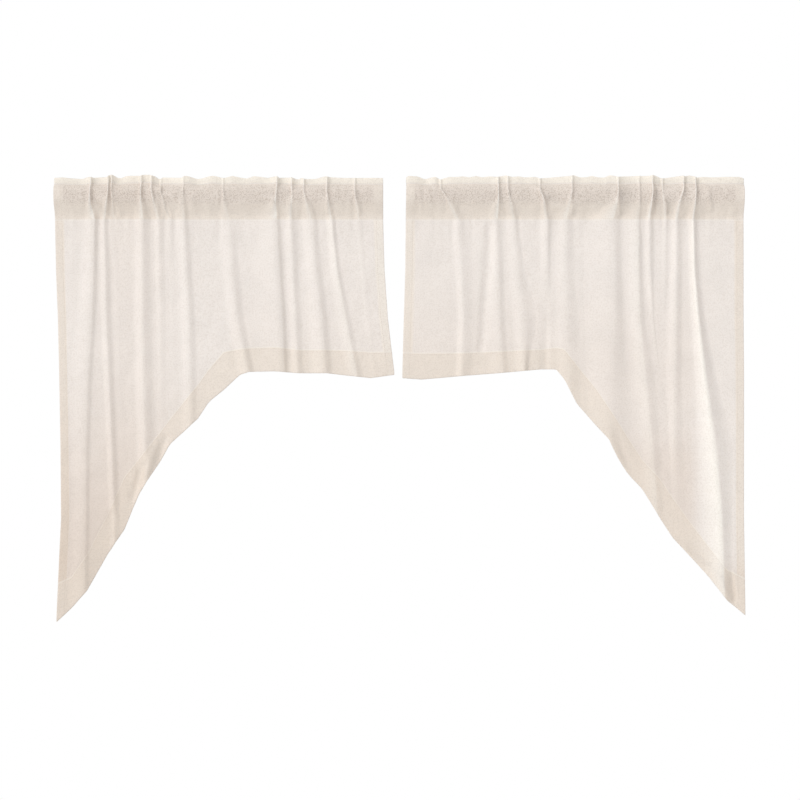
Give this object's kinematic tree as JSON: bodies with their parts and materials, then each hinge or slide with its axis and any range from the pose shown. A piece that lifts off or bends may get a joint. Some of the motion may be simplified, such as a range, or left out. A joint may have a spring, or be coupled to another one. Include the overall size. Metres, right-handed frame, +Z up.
{
  "type": "swag and tail drape",
  "caption": "Unlined cotton swag curtains with a gathered rod pocket and frill, short at the middle and falling to long slanted outer tails with a wide hem.",
  "frame": {"origin": "middle of the top edge of the pair, above the rod's axis", "axes": "+X along the rod to the viewer's right, -Y out of the front, +Z up"},
  "size_m": [1.424, 0.0404, 0.913],
  "materials": {
    "heading_cotton": "loose plain-weave cotton, doubled",
    "panel_cotton": "loose plain-weave cotton, slightly sheer"
  },
  "bodies": {
    "root": {"left_heading": "heading_cotton", "left_panel": "panel_cotton", "right_heading": "heading_cotton", "right_panel": "panel_cotton"}
  },
  "joints": []
}
